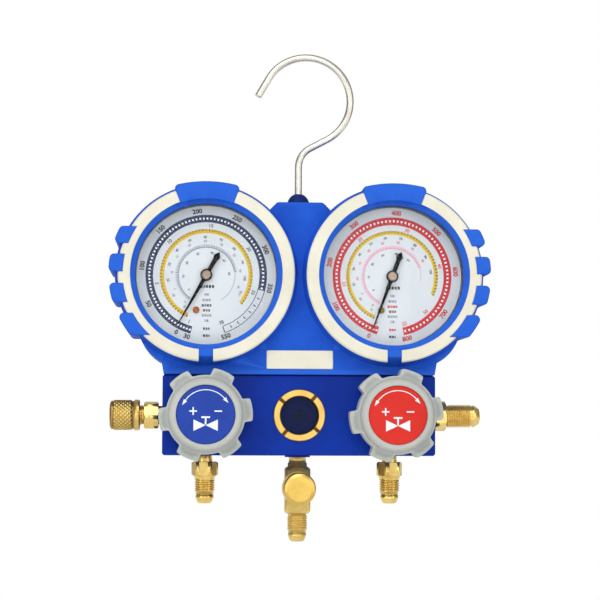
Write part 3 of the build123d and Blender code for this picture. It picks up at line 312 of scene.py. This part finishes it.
boot_blue = plastic("boot_rubber", srgb(28, 90, 208), srgb(22, 80, 194), 0.6, bevel=0.6,
                    specular=0.15, edge_tint=srgb(48, 110, 226))
cream = plastic("cream_rubber", srgb(238, 235, 216), srgb(230, 226, 206), 0.6, bevel=0.5)
navy = plastic("navy_plastic", srgb(10, 42, 112), srgb(8, 34, 96), 0.5, bevel=0.4,
               specular=0.15)
black_rubber = plastic("seal_rubber", srgb(24, 24, 26), srgb(18, 18, 20), 0.6, bevel=0.2)
badge_paints = {
    "low": plastic("low_badge", srgb(28, 66, 168), srgb(25, 60, 158), 0.35, grain=900.0,
                   depth=0.006, bevel=0.15, specular=0.22),
    "high": plastic("high_badge", srgb(222, 46, 34), srgb(212, 40, 30), 0.35, grain=900.0,
                    depth=0.006, bevel=0.15, specular=0.22),
}
dial_paint = plastic("dial_plate", srgb(212, 218, 222), srgb(206, 213, 218), 0.5,
                     grain=3000.0, depth=0.004, bevel=0.05, specular=0.15)
block_blue = anodised()
lens_clear = glass("clear_lens", (1, 1, 1, 1), 0.02, 1.12, 1.0, 40.0)
sight_clear = glass("sight_glass", srgb(84, 114, 186), 0.03, 1.2, 0.94, 60.0)
black_paint = plastic("pointer_black", srgb(14, 14, 16), srgb(8, 8, 10), 0.5,
                      grain=3000.0, depth=0.004, bevel=0.08, specular=0.1)
bronze = brushed("bronze", srgb(196, 150, 86), srgb(170, 124, 66), 0.3)
plain_brass = brushed("brass_plain", BRASS, BRASS_DARK, 0.3)
steel = brushed("steel", STEEL, STEEL_DARK, 0.3)
inks = {name: ink(f"{name}_ink", srgb(*color)) for name, color in (
    ("white", (240, 244, 250)), ("black", (24, 26, 34)), ("navy", (20, 44, 80)),
    ("red", (196, 40, 44)), ("gold", (212, 176, 30)), ("olive", (84, 72, 10)),
    ("pink", (214, 148, 168)), ("grey", (132, 136, 152)))}


# ---------------------------------------------------------------- geometry helpers

def dress(node, material):
    """Gives a CAD node its material in every slot."""
    mesh = nodes[node].data
    if not mesh.materials:
        mesh.materials.append(material)
    for index in range(len(mesh.materials)):
        mesh.materials[index] = material


def new_object(name, mesh, material, body):
    """A visible piece that rides on a body and belongs to a material slot."""
    mesh.materials.clear()
    mesh.materials.append(material)
    made = bpy.data.objects.new(name, mesh)
    scene.collection.objects.link(made)
    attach(made, body)
    return made


def welded_copy(node):
    """A bmesh copy of a CAD node, welded so that its edges can be worked on."""
    bm = bmesh.new()
    bm.from_mesh(nodes[node].data)
    bmesh.ops.remove_doubles(bm, verts=bm.verts, dist=1e-6)
    return bm


def finish_mesh(bm, name):
    """The mesh of a bmesh, shaded smooth but for its sharp edges."""
    mesh = bpy.data.meshes.new(name)
    bm.normal_update()
    bm.to_mesh(mesh)
    bm.free()
    mesh.polygons.foreach_set("use_smooth", [True] * len(mesh.polygons))
    mesh.set_sharp_from_angle(angle=radians(SHARP_ANGLE))
    return mesh


def frame_of(axis):
    """The unit axis and two unit vectors at right angles to it."""
    axis = Vector(axis).normalized()
    side = axis.orthogonal().normalized()
    return axis, side, axis.cross(side)


def shrink_cylinder(bm, origin, axis, start, end, radius, new_radius):
    """Moves the points of one cylinder of a fitting to another radius."""
    origin = Vector(origin) * MM
    axis = Vector(axis).normalized()
    for vert in bm.verts:
        rel = vert.co - origin
        t = rel.dot(axis) / MM
        out = rel - axis * rel.dot(axis)
        r = out.length / MM
        if start - 0.02 <= t <= end + 0.02 and abs(r - radius) < 0.03:
            vert.co = vert.co + out.normalized() * (new_radius - r) * MM


def add_thread(bm, origin, axis, start, end, crest, root):
    """A helical ridge with flat crest and root, run out at both ends."""
    origin = Vector(origin) * MM
    axis, side, other = frame_of(axis)
    turns = (end - start - THREAD_PITCH) / THREAD_PITCH
    count = ceil(turns * THREAD_STEPS)
    run_out = THREAD_STEPS * 0.35
    sunk = root - 0.05
    rows = []
    for k in range(count + 1):
        angle = 2 * pi * k / THREAD_STEPS
        middle = start + THREAD_PITCH / 2 + k * THREAD_PITCH / THREAD_STEPS
        top = root + (crest - root) * min(1.0, k / run_out, (count - k) / run_out)
        direction = side * cos(angle) + other * sin(angle)
        row = []
        for offset, radius in ((-0.47, sunk), (-0.1, top), (0.1, top), (0.47, sunk)):
            row.append(bm.verts.new(origin + axis * (middle + offset * THREAD_PITCH) * MM
                                    + direction * radius * MM))
        rows.append(row)
    for first, second in zip(rows, rows[1:]):
        for k in range(3):
            bm.faces.new((first[k], first[k + 1], second[k + 1], second[k]))


def add_cone(bm, origin, axis, start, end, wide, narrow):
    """A turned taper between two distances along an axis."""
    origin = Vector(origin) * MM
    axis, side, other = frame_of(axis)
    angles = [2 * pi * k / CONE_STEPS for k in range(CONE_STEPS)]
    rows = [[bm.verts.new(origin + axis * t * MM
                          + (side * cos(angle) + other * sin(angle)) * radius * MM)
             for angle in angles] for t, radius in ((start, wide), (end, narrow))]
    for k in range(CONE_STEPS):
        n = (k + 1) % CONE_STEPS
        bm.faces.new((rows[0][k], rows[0][n], rows[1][n], rows[1][k]))


def threaded(node, material, runs, cones=()):
    """Replaces a fitting by a copy whose plain threads carry real ridges."""
    bm = welded_copy(node)
    for cone in cones:
        add_cone(bm, *cone)
    for origin, axis, start, end, crest in runs:
        root = crest - THREAD_DEPTH
        shrink_cylinder(bm, origin, axis, start, end, crest, root)
        add_thread(bm, origin, axis, start, end, crest, root)
    bmesh.ops.recalc_face_normals(bm, faces=bm.faces)
    made = new_object(f"{node}_threaded", finish_mesh(bm, node), material, "manifold")
    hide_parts(node)


def add_knurl(bm, origin, axis, start, end, radius, depth, around):
    """A sleeve of diamond knurling, faded at both ends."""
    origin = Vector(origin) * MM
    axis, side, other = frame_of(axis)
    cell = 2 * pi * radius / around
    per_cell = 6
    ramp = 0.5
    columns = around * per_cell
    count = max(2, round((end - start) / (cell / per_cell)))
    rows = []
    for j in range(count + 1):
        t = start + (end - start) * j / count
        v = (t - start) / cell
        edge = min(1.0, (t - start) / ramp, (end - t) / ramp)
        row = []
        for i in range(columns):
            u = i / per_cell
            height = min(abs(((u + v) % 1.0) * 2 - 1), abs(((u - v) % 1.0) * 2 - 1))
            r = radius - depth + depth * min(1.0, height * 2.0) * edge
            angle = 2 * pi * i / columns
            direction = side * cos(angle) + other * sin(angle)
            row.append(bm.verts.new(origin + axis * t * MM + direction * r * MM))
        rows.append(row)
    for first, second in zip(rows, rows[1:]):
        for i in range(columns):
            k = (i + 1) % columns
            bm.faces.new((first[i], first[k], second[k], second[i]))


class Print:
    """Flat printed shapes on a front-facing surface, in millimetres from its middle."""

    def __init__(self, name, centre, forward):
        self.name = name
        self.bm = bmesh.new()
        self.centre = centre
        self.forward = forward

    def point(self, x, z):
        return Vector(((self.centre[0] + x) * MM, -self.forward * MM,
                       (self.centre[1] + z) * MM))

    def face(self, verts):
        """A face that looks forward, whichever way its points run."""
        made = self.bm.faces.new(verts)
        made.normal_update()
        if made.normal.y > 0:
            made.normal_flip()

    def polygon(self, points):
        self.face([self.bm.verts.new(self.point(*p)) for p in points])

    def band(self, inner, outer, start, end):
        """Ring sector between two radii, from one angle to another."""
        count = max(1, ceil(abs(end - start) / ARC_STEP))
        for k in range(count):
            a = radians(start + (end - start) * k / count)
            b = radians(start + (end - start) * (k + 1) / count)
            self.polygon([(inner * cos(a), inner * sin(a)), (outer * cos(a), outer * sin(a)),
                          (outer * cos(b), outer * sin(b)), (inner * cos(b), inner * sin(b))])

    def tick(self, inner, outer, angle, width):
        """A short line along a radius."""
        a = radians(angle)
        dx, dz = -sin(a) * width / 2, cos(a) * width / 2
        self.polygon([(inner * cos(a) - dx, inner * sin(a) - dz),
                      (outer * cos(a) - dx, outer * sin(a) - dz),
                      (outer * cos(a) + dx, outer * sin(a) + dz),
                      (inner * cos(a) + dx, inner * sin(a) + dz)])

    def ticks(self, inner, outer, start, end, count, width):
        for k in range(count + 1):
            self.tick(inner, outer, start + (end - start) * k / count, width)

    def bar(self, x, z, width, height):
        w, h = width / 2, height / 2
        self.polygon([(x - w, z - h), (x + w, z - h), (x + w, z + h), (x - w, z + h)])

    def text(self, words, x, z, size, turn, bold):
        """Numbers in Blender's own font, turned about their middle."""
        curve = bpy.data.curves.new("numeral", "FONT")
        curve.body = words
        curve.size = size
        curve.offset = bold
        curve.align_x = "CENTER"
        curve.align_y = "CENTER"
        curve.resolution_u = 3
        holder = bpy.data.objects.new("numeral", curve)
        scene.collection.objects.link(holder)
        shape = bpy.data.meshes.new_from_object(holder)
        bpy.data.objects.remove(holder)
        bpy.data.curves.remove(curve)
        c, s = cos(radians(turn)), sin(radians(turn))
        places = []
        for vert in shape.vertices:
            u, w = vert.co.x, vert.co.y
            places.append(self.bm.verts.new(self.point(x + c * u - s * w, z + s * u + c * w)))
        for polygon in shape.polygons:
            self.face([places[k] for k in polygon.vertices])
        bpy.data.meshes.remove(shape)

    def numeral(self, words, radius, angle, size, bold):
        """A numeral that stands on the line of its scale, readable from below."""
        a = radians(angle)
        turn = angle - 90
        if 205 < angle % 360 < 335:
            turn += 180
        self.text(words, radius * cos(a), radius * sin(a), size, turn, bold)

    def make(self, material, body, slot):
        mesh = bpy.data.meshes.new(self.name)
        self.bm.to_mesh(mesh)
        self.bm.free()
        new_object(self.name, mesh, material, body)


# ---------------------------------------------------------------- dials

def outer_scale(layers, key, inner, outer, major, counts):
    """Filled band with a row of small white marks, so many between two main angles."""
    layers[key].band(inner, outer, major[0], major[-1])
    middle = (inner + outer) / 2
    for first, second, count in zip(major, major[1:], counts):
        step = (second - first) / count
        for k in range(count):
            layers["white"].tick(middle - 0.55, middle + 0.55, first + (k + 0.5) * step, 0.95)


def gold_band(layers, inner, outer, start, end, count):
    """Gold scale band with olive marks along its outer half."""
    layers["gold"].band(inner, outer, start, end)
    layers["olive"].ticks((inner + outer) / 2 - 0.1, outer + 0.1, start, end, count, 0.62)


def fine_ring(layer, inner, start, end, count):
    """Thin ring with a comb of marks outside it."""
    layer.band(inner, inner + 0.55, start, end)
    layer.ticks(inner + 0.55, inner + 1.8, start, end, count, 0.7)


def numbers(layer, pairs, radius, size, bold):
    """Numbers on one circle, each at its own angle."""
    for number, angle in pairs:
        layer.numeral(str(number), radius, angle, size, bold)


def spread_numbers(layer, step, count, radius, start, turn, size, bold):
    """Round numbers from nought, evenly spread on one circle."""
    numbers(layer, [(step * k, start + turn * k) for k in range(count)], radius, size, bold)


def low_dial(layers):
    """Low-pressure dial: navy outer scale, gold and grey inner scales."""
    black, navy, grey = layers["black"], layers["navy"], layers["grey"]
    main = ((0, 242.6), (50, 206.9), (100, 172.2), (150, 135.4), (200, 98.5), (250, 61.8),
            (300, 23.9))
    full, last = -15.0, -71.9
    outer_scale(layers, "navy", 28.95, 33.05, [255.2] + [angle for _, angle in main] + [full],
                [4] + [10] * 7)
    # the white overrange end, outlined
    navy.band(28.95, 29.35, full, last)
    navy.band(32.65, 33.05, full, last)
    navy.tick(29.35, 32.65, last, 0.5)
    for angle in (-24, -32, -40, -48, -56, -64):
        navy.tick(30.2, 31.9, angle, 0.55)
    numbers(black, ((30, 252.7), *main, (350, -11.4), (550, last)), 35.1, 3.5, 0.13)
    numbers(black, ((5, 190), (10, 138), (15, 85), (20, 32), (25, -20), (38, -72), (1, 250)),
            27.1, 2.7, 0.06)
    gold_band(layers, 22.9, 25.2, 244.9, -38.5, 68)
    spread_numbers(black, 10, 12, 20.9, 236, -24, 1.9, 0.05)
    fine_ring(grey, 15.0, 238.0, 8.0, 48)
    grey.band(15.5, 15.8, 8.0, -59.4)
    spread_numbers(grey, 5, 10, 18.6, 232, -28, 1.8, 0.07)
    spread_numbers(black, 10, 7, 12.4, 220, -36, 1.7, 0.05)


def high_dial(layers):
    """High-pressure dial: red outer scale, gold and pink inner scales."""
    black, red, pink = layers["black"], layers["red"], layers["pink"]
    main = [(100 * k, 248.6 - 40.6 * k) for k in range(8)]
    outer_scale(layers, "red", 28.4, 32.7, [255.3] + [angle for _, angle in main] + [-78.5],
                [2] + [10] * 8)
    numbers(red, main + [(800, -76.2)], 34.9, 3.5, 0.13)
    numbers(red, ((10, 189.7), (20, 131), (30, 72), (40, 13), (50, -46), (55, -75), (0, 251)),
            26.7, 2.7, 0.06)
    gold_band(layers, 23.1, 25.2, 245.9, -23.4, 64)
    spread_numbers(black, 10, 11, 21.4, 238, -23, 1.9, 0.05)
    fine_ring(pink, 15.2, 243.4, 19.3, 46)
    pink.band(15.8, 16.1, 19.3, -8.0)
    spread_numbers(red, 5, 9, 19.0, 236, -26, 1.8, 0.05)
    spread_numbers(black, 10, 6, 12.7, 216, -34, 1.7, 0.05)


def blocks(layer, x, z, height, widths):
    """A row of plain blocks that stands in for a legend."""
    gap = height * 0.28
    left = x - (sum(widths) + gap * (len(widths) - 1)) / 2
    for width in widths:
        layer.bar(left + width / 2, z, width, height)
        left += width + gap


def legend(layers, main):
    """Plain blocks where the real dial has its legends."""
    blocks(layers["black"], 0.4, -6.2, 1.7, (1.5, 0.7, 1.2, 1.2, 1.2))
    rows = (("grey", -10.6, (0.7, 1.3)), ("grey", -13.6, (1.4, 1.2, 1.0)),
            (main, -16.5, (1.2, 0.8, 1.2, 0.9)), ("olive", -19.2, (1.2, 0.9, 0.9)),
            ("grey", -21.9, (1.1, 1.1, 0.8, 1.0)), ("grey", -24.8, (0.6, 1.2)),
            (main, -29.2, (1.0, 1.0, 0.8)), ("black", -33.0, (1.2, 1.0, 0.6)))
    for key, z, widths in rows:
        blocks(layers[key], 0.2, z, 1.35, widths)


# each ink's height above the dial, so that no two inks share a plane where they cross
LIFTS = {"navy": 0.02, "red": 0.02, "gold": 0.02, "grey": 0.03, "pink": 0.03, "olive": 0.05,
         "white": 0.04, "black": 0.05}
for side, sign in SIDES.items():
    layers = {key: Print(f"{side}_dial_{key}", (sign * PITCH, GAUGE_Z), DIAL_FRONT + lift)
              for key, lift in LIFTS.items()}
    if side == "low":
        low_dial(layers)
        legend(layers, "navy")
    else:
        high_dial(layers)
        legend(layers, "red")
    for key, layer in layers.items():
        if layer.bm.faces:
            layer.make(inks[key], "manifold", f"{side}_dial_print")
        else:
            layer.bm.free()


# ---------------------------------------------------------------- knob badges

def badge_print(side, sign):
    """Double-headed turning arrow, plus and minus, and a plain valve symbol."""
    art = Print(f"{side}_badge_print", (sign * PITCH, 0.0), BADGE_FRONT + 0.04)
    left, right = 145.0, 41.0
    art.band(12.8, 13.25, left, right)
    for angle, way in ((left, 1), (right, -1)):
        a = radians(angle)
        base = Vector((13.0 * cos(a), 13.0 * sin(a)))
        out = Vector((cos(a), sin(a)))
        along = Vector((-sin(a), cos(a))) * way
        points = [base + out * 1.0, base - out * 1.0, base + along * 3.2]
        art.polygon([tuple(p) for p in points])
    sign_x, sign_z, length, width = 6.6, 1.8, 4.0, 0.75
    art.bar(-sign_x, sign_z, length, width)
    for way in (-1, 1):
        art.bar(-sign_x, sign_z + way * 1.2, width, 1.65)
    art.bar(sign_x, sign_z, length, width)
    for way in (-1, 1):
        art.polygon([(0.0, -5.6), (way * 6.4, -2.6), (way * 6.4, -8.6)])
    art.bar(0.0, -3.55, 0.9, 3.3)
    art.bar(0.0, -1.4, 4.6, 0.9)
    art.make(inks["white"], f"{side}_valve_knob", f"{side}_badge")


# ---------------------------------------------------------------- fittings

for side, sign in SIDES.items():
    x = sign * PITCH
    valve, port = (x, 0, 0), (x, PORT_Y, 0.0)
    threaded(f"{side}_hose_port",
             turned(f"{side}_port_brass", BRASS, BRASS_DARK, 0.2, port, DOWN),
             [(port, DOWN, 33.0, 42.8, QUARTER_SAE)], [(port, DOWN, 32.4, 35.2, 6.3, 5.3)])
    badge_print(side, sign)
    valve_brass = turned(f"{side}_valve_brass", BRASS, BRASS_DARK, 0.24, valve, FRONT)
    # the knobs' lighter edges are a painted highlight, and their darker lobes are painted
    # shade
    knob_grey = plastic(f"{side}_knob_grey", srgb(188, 190, 184), srgb(178, 180, 175), 0.45,
                        bevel=0.5, edge_tint=srgb(204, 206, 200),
                        lobe_shade=(valve, 19.2, 22.0, srgb(160, 166, 162)))
    bush = turned(f"{side}_bush_metal", srgb(150, 132, 114), srgb(104, 90, 78), 0.32,
                  (x, 0, GAUGE_Z), FRONT, bevel=0.3)
    for material, names in (
            (valve_brass, ("bonnet", "piston", "stem")), (knob_grey, ("knob",)),
            (badge_paints[side], ("knob_badge",)), (steel, ("knob_screw", "gauge_case")),
            (black_rubber, ("piston_oring",)), (lens_clear, ("gauge_lens",)),
            (dial_paint, ("dial",)), (bronze, ("bourdon_tube", "hairspring")),
            (plain_brass, ("gauge_socket", "movement_frame", "pinion", "sector_gear", "link")),
            (black_paint, ("pointer",)), (bush, ("pointer_bush",))):
        for name in names:
            dress(f"{side}_{name}", material)
dress("low_zero_screw", brushed("copper_screw", srgb(150, 84, 42), srgb(96, 50, 26), 0.35))
dress("high_zero_screw", brushed("brass_screw", srgb(140, 118, 36), srgb(96, 80, 24), 0.35))

ports = (0.0, PORT_Y, 0.0)
branch = (0, 0, TEE_Z)
threaded("left_side_port", turned("left_port_brass", BRASS, BRASS_DARK, 0.24, ports, LEFT),
         [(ports, LEFT, 84.2, 94.0, QUARTER_SAE)])
threaded("right_side_port", turned("right_port_brass", BRASS, BRASS_DARK, 0.22, ports, RIGHT),
         [(ports, RIGHT, 82.0, 96.5, FIVE_SIXTEENTHS_SAE)])
threaded("centre_tee",
         turned("tee_brass", BRASS, BRASS_DARK, 0.34, ports, DOWN, metallic=0.6),
         [(ports, DOWN, 53.7, 63.5, QUARTER_SAE), (branch, FRONT, 24.9, 34.7, QUARTER_SAE)])

# knurled side cap and the plain round cap of the branch
CAP_START, CAP_END, CAP_RADIUS, KNURL_DEPTH = 86.5, 102.9, 8.25, 0.65
groove = CAP_RADIUS - KNURL_DEPTH
# the knurl's valleys are darkened as painted shade
cap_metal = turned("side_cap_brass", srgb(214, 184, 104), srgb(194, 160, 84), 0.3, ports, LEFT,
                   grooves=(groove, 8.0))
bm = welded_copy("side_cap")
shrink_cylinder(bm, ports, LEFT, CAP_START + 3.5, CAP_END - 1.5, CAP_RADIUS, groove)
add_knurl(bm, ports, LEFT, CAP_START + 4.1, CAP_END - 1.9, CAP_RADIUS, KNURL_DEPTH, 22)
bmesh.ops.recalc_face_normals(bm, faces=bm.faces)
cap = new_object("side_cap_knurled", finish_mesh(bm, "side_cap"), cap_metal,
                 "side_cap_shell")
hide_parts("side_cap")
dress("centre_cap", turned("centre_cap_brass", srgb(222, 188, 98), srgb(204, 166, 80), 0.32,
                           branch, FRONT, lines=2200.0, depth=0.02))
# the ring's front notches are darkened as painted shade
dress("sight_glass_ring", turned("sight_ring_brass", srgb(222, 184, 100), srgb(200, 160, 80),
                                 0.3, (0, 0, 0), FRONT, recess=(36.1, 36.7)))

for name, material in (
        ("side_cap_seal", black_rubber), ("centre_cap_seal", black_rubber),
        ("sight_glass_seal", black_rubber), ("sight_glass", sight_clear),
        ("manifold_block", block_blue), ("gauge_boot", boot_blue), ("ring_inlays", cream),
        ("centre_plate", cream), ("hook", steel), ("hook_collar", navy),
        ("hook_socket", plain_brass)):
    dress(name, material)


# ---------------------------------------------------------------- studio, in metres

def graded(shader, value, stops):
    """A smooth grey gradient over a value from 0 to 1."""
    ramp = shader.node("ShaderNodeValToRGB")
    elements = ramp.color_ramp.elements
    for element, (position, level) in zip(elements, (stops[0], stops[-1])):
        element.position = position
        element.color = (level, level, level, 1)
    for position, level in stops[1:-1]:
        elements.new(position).color = (level, level, level, 1)
    shader.link(value, ramp.inputs[0])
    return ramp.outputs[0]


# the world: white where it is seen, soft light, and a graded card for reflections
world = Shader("studio", world=True)
scene.world = world.owner
direction = world.node("ShaderNodeTexCoord").outputs["Generated"]
height = world.math("MULTIPLY_ADD", world.part(direction, "Z"), 0.5, 0.5)
depth = world.math("MULTIPLY_ADD", world.part(direction, "Y"), 0.5, 0.5)
product = world.node("ShaderNodeMix", data_type="RGBA", blend_type="MULTIPLY")
product.inputs[0].default_value = 1.0
world.link(graded(world, height, ((0.0, 0.15), (0.28, 0.4), (0.42, 0.85), (0.5, 1.0),
                                  (0.6, 0.75), (0.75, 0.8), (0.9, 1.0), (1.0, 1.0))),
           product.inputs[6])
world.link(graded(world, depth, ((0.0, 1.0), (0.12, 0.95), (0.25, 0.42), (0.5, 0.28),
                                 (0.8, 0.32), (1.0, 0.8))), product.inputs[7])
card = world.node("ShaderNodeBackground", Strength=1.15)
world.link(product.outputs[2], card.inputs["Color"])
soft = world.node("ShaderNodeBackground", Color=(1, 1, 1, 1), Strength=0.42)
seen = world.node("ShaderNodeBackground", Color=(1, 1, 1, 1), Strength=1.0)
rays = world.node("ShaderNodeLightPath").outputs
lit = world.blend(rays["Is Glossy Ray"], soft.outputs[0], card.outputs[0])
visible = world.math("MAXIMUM", rays["Is Camera Ray"], rays["Is Transmission Ray"])
world.link(world.blend(visible, lit, seen.outputs[0]), world.output.inputs[0])

# pale floor below, plain white to camera, mirror and glass rays
REACH, FLOOR = 3, -0.32
mesh = bpy.data.meshes.new("studio_floor")
mesh.from_pydata([(-REACH, -REACH, FLOOR), (REACH, -REACH, FLOOR), (REACH, REACH, FLOOR),
                  (-REACH, REACH, FLOOR)], [], [(0, 1, 2, 3)])
made = bpy.data.objects.new("studio_floor", mesh)
scene.collection.objects.link(made)
paint = Shader("studio_floor")
matt = paint.node("ShaderNodeBsdfPrincipled", Base_Color=(0.9, 0.9, 0.9, 1), Roughness=0.9)
glow = paint.node("ShaderNodeEmission", Color=(1, 1, 1, 1), Strength=1.0)
rays = paint.node("ShaderNodeLightPath").outputs
visible = paint.math("MAXIMUM", rays["Is Camera Ray"], rays["Is Transmission Ray"])
visible = paint.math("MAXIMUM", visible, rays["Is Glossy Ray"])
paint.link(paint.blend(visible, matt.outputs[0], glow.outputs[0]), paint.output.inputs[0])
mesh.materials.append(paint.owner)

for name, place, target, size, power in (
        ("key_top", (-0.25, -0.75, 0.95), (0, 0, 0.05), (0.9, 0.7), 5.4),
        ("fill_left", (-1.0, -0.8, 0.15), (0, 0, 0.03), (0.5, 1.0), 2.7),
        ("fill_right", (1.0, -0.8, 0.25), (0, 0, 0.03), (0.5, 1.0), 2.7),
        ("front", (0.0, -1.6, 0.35), (0, 0, 0.05), (0.5, 0.5), 2.4),
        ("bounce", (0.0, -0.55, -0.28), (0, 0, 0.0), (0.9, 0.3), 0.55)):
    data = bpy.data.lights.new(name, "AREA")
    data.shape = "RECTANGLE"
    data.size, data.size_y = size
    data.energy = power
    lamp = bpy.data.objects.new(name, data)
    lamp.location = place
    lamp.rotation_euler = (Vector(target) - Vector(place)).to_track_quat("-Z", "Y").to_euler()
    scene.collection.objects.link(lamp)

data = bpy.data.cameras.new("camera")
camera = bpy.data.objects.new("camera", data)
scene.collection.objects.link(camera)
scene.camera = camera
data.sensor_width = 36.0
data.sensor_fit = "HORIZONTAL"
data.lens = 109.19
data.clip_start = 0.05
data.clip_end = 20.0
data.dof.use_dof = False
camera.location = (-0.0574, -1.0208, -0.0091)
camera.rotation_euler = (radians(94.155), radians(-0.208), radians(-3.357))

scene.view_settings.view_transform = "Standard"
